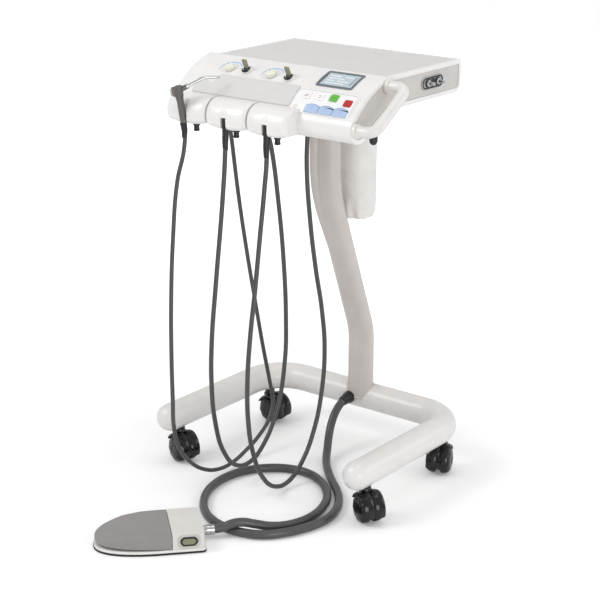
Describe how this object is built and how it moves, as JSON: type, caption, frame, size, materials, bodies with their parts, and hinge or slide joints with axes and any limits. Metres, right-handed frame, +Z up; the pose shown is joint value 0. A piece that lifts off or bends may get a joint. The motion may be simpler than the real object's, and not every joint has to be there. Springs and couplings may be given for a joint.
{
  "type": "portable dental unit",
  "caption": "Mobile dental delivery cart: sloped control console on a cranked column, U-shaped tube base with twin-wheel castors, hose-fed instrument holders, water bottle and foot control.",
  "frame": {"origin": "on the floor, under the middle of the box round everything but the hoses", "axes": "+X to the operator's right as they face the console, +Y to the rear, instruments face -Y, +Z up"},
  "size_m": [0.5835, 0.8144, 0.8916],
  "materials": {
    "white_enamel": "smooth semi-gloss powder coat",
    "grey_enamel": "satin powder coat",
    "white_shell": "smooth moulded",
    "grey_shell": "fine texture",
    "pad": "soft matte",
    "castor_black": "satin",
    "wheel_grey": "matte tread",
    "bezel_dark": "smooth",
    "lcd_glass": "smooth, opaque display behind",
    "panel_film": "printed film",
    "blue_key": "satin",
    "red_key": "satin",
    "green_key": "satin",
    "white_key": "satin",
    "cream_knob": "smooth",
    "olive_plastic": "satin",
    "dark_plastic": "satin",
    "hose_rubber": "smooth silicone",
    "foot_hose_rubber": "ribbed",
    "syringe_metal": "dark satin anodised",
    "bright_metal": "polished",
    "button_grey": "satin",
    "bottle_plastic": "translucent blow-moulded",
    "board_green": "solder mask",
    "manifold_metal": "machined",
    "sole_rubber": "matte",
    "pedal_white": "satin",
    "pedal_light": "fine texture",
    "pedal_grey": "fine texture"
  },
  "bodies": {
    "cart": {"base_frame": "white_enamel", "column": "grey_enamel", "column_cover": "grey_shell", "head_bracket": "grey_enamel", "console_pan": "grey_shell", "console_tray": "white_shell", "tray_inlay": "pad", "deck": "white_shell", "nose": "white_shell", "side_panel_left": "grey_shell", "side_panel_right": "grey_shell", "work_pad": "pad", "handle": "white_enamel", "display_bezel": "bezel_dark", "display_glass": "lcd_glass", "key_panel": "panel_film", "toggle_bases": "dark_plastic", "holder_left": "white_shell", "holder_middle": "white_shell", "holder_right": "white_shell", "hose_fittings": "dark_plastic", "syringe_body": "syringe_metal", "hose_left": "hose_rubber", "hose_middle": "hose_rubber", "hose_right": "hose_rubber", "bottle_manifold": "dark_plastic", "air_filter": "dark_plastic", "port_plate": "bright_metal", "control_board": "board_green", "air_manifold": "manifold_metal", "foot_hose_run": "foot_hose_rubber", "foot_hose_coil": "foot_hose_rubber", "pedal_sole": "sole_rubber", "pedal_base": "pedal_white", "pedal_tail": "pedal_light"},
    "fork_front_left": {"castor_fork_1": "castor_black"},
    "wheels_front_left": {"castor_wheels_1": "wheel_grey"},
    "fork_front_right": {"castor_fork_2": "castor_black"},
    "wheels_front_right": {"castor_wheels_2": "wheel_grey"},
    "fork_rear_left": {"castor_fork_3": "castor_black"},
    "wheels_rear_left": {"castor_wheels_3": "wheel_grey"},
    "fork_rear_right": {"castor_fork_4": "castor_black"},
    "wheels_rear_right": {"castor_wheels_4": "wheel_grey"},
    "key_blue_1": {"key_blue_1": "blue_key"},
    "key_blue_2": {"key_blue_2": "blue_key"},
    "key_blue_3": {"key_blue_3": "blue_key"},
    "key_red": {"key_red": "red_key"},
    "key_green": {"key_green": "green_key"},
    "key_white_1": {"key_white_1": "white_key"},
    "key_white_2": {"key_white_2": "white_key"},
    "knob_left": {"knob_left": "cream_knob"},
    "knob_right": {"knob_right": "cream_knob"},
    "toggle_left": {"toggle_left": "olive_plastic"},
    "toggle_right": {"toggle_right": "olive_plastic"},
    "nozzle": {"syringe_nozzle": "bright_metal"},
    "syringe_button_air": {"syringe_button_air": "button_grey"},
    "syringe_button_water": {"syringe_button_water": "button_grey"},
    "bottle": {"water_bottle": "bottle_plastic"},
    "treadle": {"pedal_treadle": "pedal_grey"},
    "pedal_button": {"pedal_button": "olive_plastic"}
  },
  "joints": [
    {"name": "swivel_front_left", "type": "hinge", "parent": "cart", "child": "fork_front_left", "pos_m": [-0.26175, 0.03724, 0.08], "axis": [0, 0, 1], "continuous": true},
    {"name": "roll_front_left", "type": "hinge", "parent": "fork_front_left", "child": "wheels_front_left", "pos_m": [-0.24766, 0.03211, 0.03], "axis": [-0.342, -0.9397, 0], "continuous": true},
    {"name": "swivel_front_right", "type": "hinge", "parent": "cart", "child": "fork_front_right", "pos_m": [0.23825, 0.03724, 0.08], "axis": [0, 0, 1], "continuous": true},
    {"name": "roll_front_right", "type": "hinge", "parent": "fork_front_right", "child": "wheels_front_right", "pos_m": [0.25124, 0.02974, 0.03], "axis": [-0.5, -0.866, 0], "continuous": true},
    {"name": "swivel_rear_left", "type": "hinge", "parent": "cart", "child": "fork_rear_left", "pos_m": [-0.24884, 0.33728, 0.08], "axis": [0, 0, 1], "continuous": true},
    {"name": "roll_rear_left", "type": "hinge", "parent": "fork_rear_left", "child": "wheels_rear_left", "pos_m": [-0.23398, 0.3352, 0.03], "axis": [-0.1392, -0.9903, 0], "continuous": true},
    {"name": "swivel_rear_right", "type": "hinge", "parent": "cart", "child": "fork_rear_right", "pos_m": [0.22533, 0.33728, 0.08], "axis": [0, 0, 1], "continuous": true},
    {"name": "roll_rear_right", "type": "hinge", "parent": "fork_rear_right", "child": "wheels_rear_right", "pos_m": [0.23046, 0.32319, 0.03], "axis": [-0.9397, -0.342, 0], "continuous": true},
    {"name": "key_blue_1_press", "type": "slide", "parent": "cart", "child": "key_blue_1", "axis": [0, 0.7272, -0.6864], "range_m": [0, 0.0012], "stiffness_N_per_m": 600, "springref_m": -0.0005},
    {"name": "key_blue_2_press", "type": "slide", "parent": "cart", "child": "key_blue_2", "axis": [0, 0.7272, -0.6864], "range_m": [0, 0.0012], "stiffness_N_per_m": 600, "springref_m": -0.0005},
    {"name": "key_blue_3_press", "type": "slide", "parent": "cart", "child": "key_blue_3", "axis": [0, 0.7272, -0.6864], "range_m": [0, 0.0012], "stiffness_N_per_m": 600, "springref_m": -0.0005},
    {"name": "key_red_press", "type": "slide", "parent": "cart", "child": "key_red", "axis": [0, 0.6483, -0.7614], "range_m": [0, 0.0012], "stiffness_N_per_m": 600, "springref_m": -0.0005},
    {"name": "key_green_press", "type": "slide", "parent": "cart", "child": "key_green", "axis": [0, 0.6176, -0.7865], "range_m": [0, 0.0012], "stiffness_N_per_m": 600, "springref_m": -0.0005},
    {"name": "key_white_1_press", "type": "slide", "parent": "cart", "child": "key_white_1", "axis": [0, 0.6254, -0.7803], "range_m": [0, 0.0012], "stiffness_N_per_m": 600, "springref_m": -0.0005},
    {"name": "key_white_2_press", "type": "slide", "parent": "cart", "child": "key_white_2", "axis": [0, 0.6254, -0.7803], "range_m": [0, 0.0012], "stiffness_N_per_m": 600, "springref_m": -0.0005},
    {"name": "knob_left_turn", "type": "hinge", "parent": "cart", "child": "knob_left", "pos_m": [-0.15175, 0.08937, 0.86595], "axis": [0, -0.4553, 0.8904], "range_deg": [-135, 135]},
    {"name": "knob_right_turn", "type": "hinge", "parent": "cart", "child": "knob_right", "pos_m": [-0.04275, 0.0876, 0.86503], "axis": [0, -0.4641, 0.8858], "range_deg": [-135, 135]},
    {"name": "toggle_left_tilt", "type": "hinge", "parent": "cart", "child": "toggle_left", "pos_m": [-0.10775, 0.0909, 0.86963], "axis": [1, 0, 0], "range_deg": [-30, 0]},
    {"name": "toggle_right_tilt", "type": "hinge", "parent": "cart", "child": "toggle_right", "pos_m": [0.00325, 0.08729, 0.8678], "axis": [1, 0, 0], "range_deg": [-30, 0]},
    {"name": "nozzle_turn", "type": "hinge", "parent": "cart", "child": "nozzle", "pos_m": [-0.18375, -0.03259, 0.83541], "axis": [0.5918, 0.6799, 0.4331], "continuous": true},
    {"name": "syringe_air_press", "type": "slide", "parent": "cart", "child": "syringe_button_air", "axis": [0.6157, 0.7693, 0.1706], "range_m": [0, 0.002], "stiffness_N_per_m": 800, "springref_m": -0.001},
    {"name": "syringe_water_press", "type": "slide", "parent": "cart", "child": "syringe_button_water", "axis": [0.6157, 0.7693, 0.1706], "range_m": [0, 0.002], "stiffness_N_per_m": 800, "springref_m": -0.001},
    {"name": "bottle_unscrew", "type": "hinge", "parent": "cart", "child": "bottle", "pos_m": [0.01025, 0.31424, 0.7], "axis": [0, 0, 1], "range_deg": [0, 90]},
    {"name": "treadle_press", "type": "hinge", "parent": "cart", "child": "treadle", "pos_m": [-0.0118, -0.29106, 0.019], "axis": [0.7408, -0.6717, 0], "range_deg": [0, 2.1], "stiffness_Nm_per_rad": 8, "springref_deg": -1.72},
    {"name": "pedal_button_press", "type": "slide", "parent": "cart", "child": "pedal_button", "axis": [-0.7408, 0.6717, 0], "range_m": [0, 0.002], "stiffness_N_per_m": 1200, "springref_m": -0.001}
  ]
}
